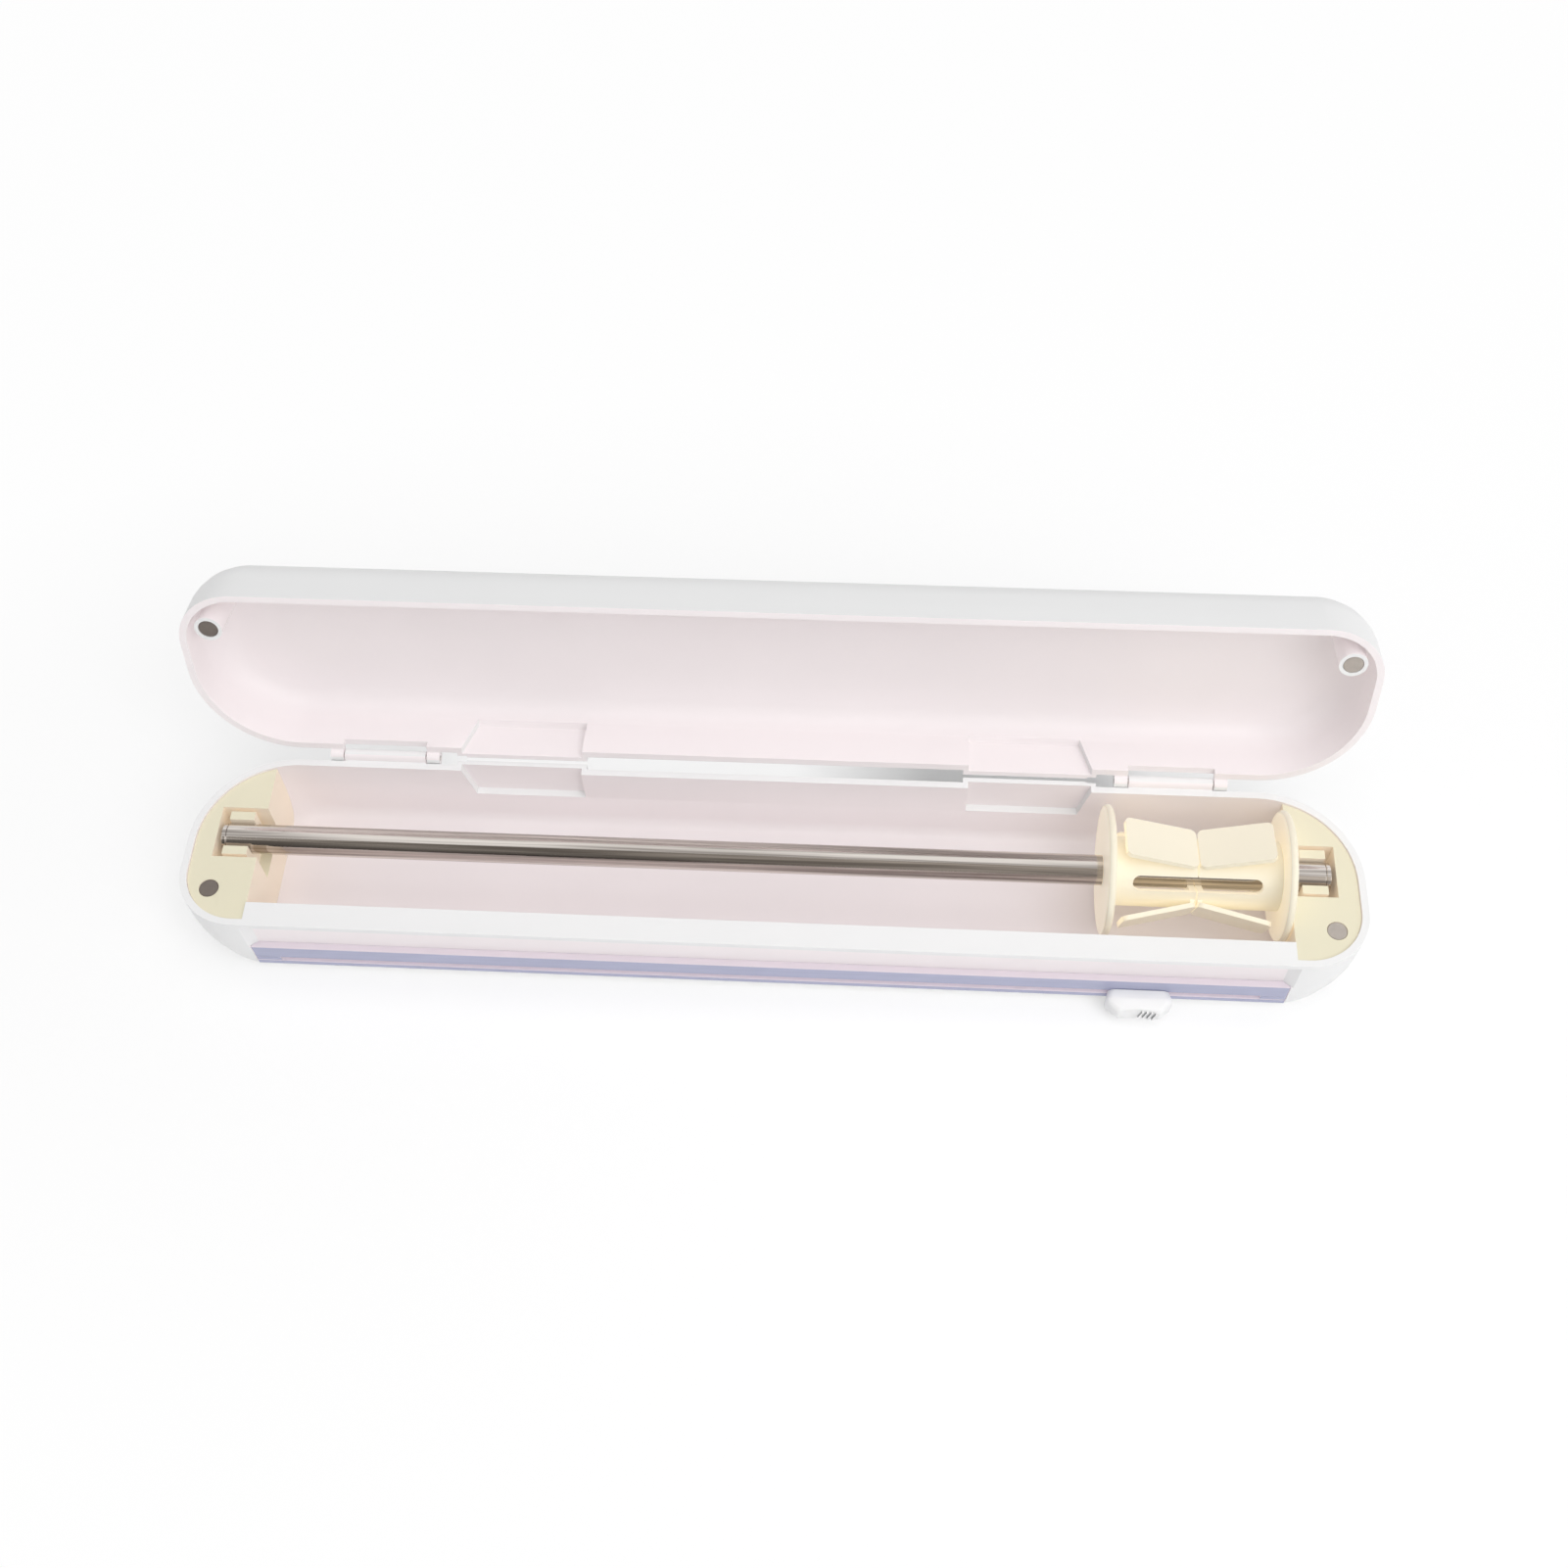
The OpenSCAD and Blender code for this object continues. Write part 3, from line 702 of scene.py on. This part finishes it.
class CUTTER_OT_slider(bpy.types.Operator):
    """Dresses the thumb knob, its shoe and the blade"""

    bl_idname = "cutter.slider"
    bl_label = "Slider"

    def execute(self, context):
        looks = context.scene.cutter_fittings
        white = moulded_plastic(
            "white knob", looks.white[:], looks.rib_shade[:], looks.white_roughness,
            context.scene.cutter_case.grain, KNOB_PAINTED_GLOW)
        steel = drawn_steel(
            "blade steel", looks.steel[:], looks.steel_shade[:], looks.blade_roughness)
        rounded_copy("cutter_knob", "thumb_knob", white, looks.edge, chosen=rib_flank())
        rounded_copy("cutter_shoe", "slider_shoe", white, looks.edge)
        rounded_copy("cutter_blade", "point_blade", steel, looks.edge * BLADE_EDGE)
        return {"FINISHED"}


def seen_ray(tree):
    """One where a ray shows the background itself, rather than its light on the object."""
    path = tree.tree.nodes.new("ShaderNodeLightPath")
    seen = Wire(tree.tree, path.outputs["Is Camera Ray"])
    for other in ("Is Glossy Ray", "Is Transmission Ray"):
        seen = seen.larger(Wire(tree.tree, path.outputs[other]))
    return seen


def floor_white(tree, place):
    """How much of the floor's own white shows.

    It is less near the object. A narrow strip behind the base, under the lid, has its own instead:
    painted light, strong at the left and none at the right, where the floor shows its shadow.
    """
    rings = place.node("ShaderNodeMapping", {}, {"Vector": place, "Scale": RING_SCALE})
    reach = tree.node("ShaderNodeVectorMath", {"operation": "LENGTH"}, {0: rings}, out="Value")
    around = ramp(reach, NEAR_SPAN, NEAR_WHITE) + ramp(reach, FAR_SPAN, FAR_WHITE)
    across = coordinate(place, "X")
    past_ends = ramp(abs(across), STRIP_END)
    past_sides = ramp(abs(coordinate(place, "Y") - STRIP_Y), STRIP_SIDE)
    off_strip = past_ends.larger(past_sides)
    return around * off_strip + ramp(across, STRIP_SPAN, STRIP_PAINTED_LIGHT) * (1 - off_strip)


def make_floor(shade):
    """Pale floor that keeps the object's shadow and is white where it is in full light."""
    bm = bmesh.new()
    bmesh.ops.create_grid(bm, x_segments=1, y_segments=1, size=FLOOR_HALF)
    made, tree, place = new_material("studio floor")
    lit = tree.node("ShaderNodeBsdfDiffuse", {}, {"Color": whole(shade)})
    glow = tree.node("ShaderNodeEmission", {}, {"Color": (1, 1, 1, 1), "Strength": 1.0})
    own = floor_white(tree, place) * seen_ray(tree)
    both = tree.node("ShaderNodeMixShader", {}, {0: own, 1: lit, 2: glow})
    tree.node("ShaderNodeOutputMaterial", {}, {"Surface": both})
    floor = new_object("studio_floor", bm, made)


def make_sky(strength):
    """Even white light from all round, and white where it is seen."""
    world = bpy.data.worlds.new("studio sky")
    world.use_nodes = True
    world.node_tree.nodes.clear()
    tree = Wire(world.node_tree)
    level = strength + (1 - strength) * seen_ray(tree)
    sky = tree.node("ShaderNodeBackground", {}, {"Color": (1, 1, 1, 1), "Strength": level})
    tree.node("ShaderNodeOutputWorld", {}, {"Surface": sky})
    bpy.context.scene.world = world


def make_softbox(name, power, side, place, mirrored):
    """Square softbox that faces the object; only a mirrored one shows in polished metal."""
    light = bpy.data.lights.new(name, "AREA")
    light.energy = power
    light.shape = "SQUARE"
    light.size = side
    lamp = bpy.data.objects.new(name, light)
    spot = Vector(place)
    lamp.matrix_world = Matrix.LocRotScale(
        spot, (LIGHT_TARGET - spot).to_track_quat("-Z", "Y"), None)
    lamp.visible_glossy = mirrored
    bpy.context.scene.collection.objects.link(lamp)


def make_flag():
    """Dark curved card in front, which only shows in polished metal."""
    bm = bmesh.new()
    start = [bm.verts.new((x, -FLAG_REACH, 0)) for x in (-FLAG_HALF, FLAG_HALF)]
    edge = bm.edges.new(start)
    middle = (0, 0, 0)
    bmesh.ops.rotate(
        bm, verts=start, cent=middle, matrix=Matrix.Rotation(-FLAG_LOW, 3, "X"))
    bmesh.ops.spin(
        bm, geom=[*start, edge], cent=middle, axis=(-1, 0, 0), angle=FLAG_HIGH - FLAG_LOW,
        steps=FLAG_STEPS)
    made, tree, place = new_material("studio flag")
    paler = ramp(coordinate(place, "X"), FLAG_SPAN, FLAG_LEVELS)
    level = paler + FLAG_RISE * coordinate(place, "Z")
    dull = tree.node("ShaderNodeEmission", {}, {"Color": whole(FLAG_TINT), "Strength": level})
    tree.node("ShaderNodeOutputMaterial", {}, {"Surface": dull})
    flag = new_object("studio_flag", bm, made)
    for ray in ("camera", "diffuse", "transmission", "volume_scatter", "shadow"):
        setattr(flag, f"visible_{ray}", False)


def make_camera(stage):
    """Camera at the photograph's place."""
    high, turn = stage.elevation, stage.azimuth
    away = Vector((
        math.sin(turn) * math.cos(high), -math.cos(turn) * math.cos(high), math.sin(high)))
    level = Vector((math.cos(turn), math.sin(turn), 0))
    upright = away.cross(level)
    right = math.cos(stage.roll) * level + math.sin(stage.roll) * upright
    up = away.cross(right)
    data = bpy.data.cameras.new("photo camera")
    data.sensor_fit = "HORIZONTAL"
    data.sensor_width = SENSOR
    data.lens = stage.focal * SENSOR / PHOTO_WIDTH
    camera = bpy.data.objects.new("photo camera", data)
    spot = Vector(stage.target) + stage.distance * away
    turned = Matrix((right, up, away)).transposed().to_4x4()
    camera.matrix_world = Matrix.Translation(spot) @ turned
    bpy.context.scene.collection.objects.link(camera)
    bpy.context.scene.camera = camera


class CUTTER_OT_stage(bpy.types.Operator):
    """Makes the floor, the lights and the camera"""

    bl_idname = "cutter.stage"
    bl_label = "Stage"

    def execute(self, context):
        stage = context.scene.cutter_stage
        context.scene.view_settings.view_transform = "Standard"
        make_floor(stage.floor[:])
        make_sky(stage.sky)
        for name, (side, place, mirrored) in SOFTBOXES.items():
            make_softbox(f"{name} softbox", getattr(stage, name), side, place, mirrored)
        make_flag()
        make_camera(stage)
        return {"FINISHED"}


OPERATORS = (
    CUTTER_OT_case,
    CUTTER_OT_end_blocks,
    CUTTER_OT_magnets,
    CUTTER_OT_rail,
    CUTTER_OT_hinge_pins,
    CUTTER_OT_spindle,
    CUTTER_OT_core_plugs,
    CUTTER_OT_slider,
    CUTTER_OT_stage,
)
GROUPS = {"cutter_case": CaseLooks, "cutter_fittings": FittingLooks, "cutter_stage": StageLooks}


class CUTTER_PT_sidebar(bpy.types.Panel):
    """Lists the looks and the pieces of the film cutter"""

    bl_idname = "CUTTER_PT_sidebar"
    bl_label = "Film cutter"
    bl_space_type = "VIEW_3D"
    bl_region_type = "UI"
    bl_category = "Film cutter"

    def draw(self, context):
        for group in GROUPS:
            looks = getattr(context.scene, group)
            box = self.layout.box()
            for name in looks.__annotations__:
                box.prop(looks, name)
        for operator in OPERATORS:
            self.layout.operator(operator.bl_idname)


CLASSES = (*GROUPS.values(), *OPERATORS, CUTTER_PT_sidebar)


def register():
    """Adds the classes and the groups of looks."""
    for made in CLASSES:
        bpy.utils.register_class(made)
    for name, group in GROUPS.items():
        setattr(bpy.types.Scene, name, PointerProperty(type=group))


def unregister():
    """Takes the groups of looks and the classes away again."""
    for name in GROUPS:
        delattr(bpy.types.Scene, name)
    for made in reversed(CLASSES):
        bpy.utils.unregister_class(made)


def main():
    """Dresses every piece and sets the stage."""
    register()
    bpy.ops.cutter.case()
    bpy.ops.cutter.end_blocks()
    bpy.ops.cutter.magnets()
    bpy.ops.cutter.rail()
    bpy.ops.cutter.hinge_pins()
    bpy.ops.cutter.spindle()
    bpy.ops.cutter.core_plugs()
    bpy.ops.cutter.slider()
    bpy.ops.cutter.stage()
    bpy.context.view_layer.update()


if __name__ == "__main__":
    main()
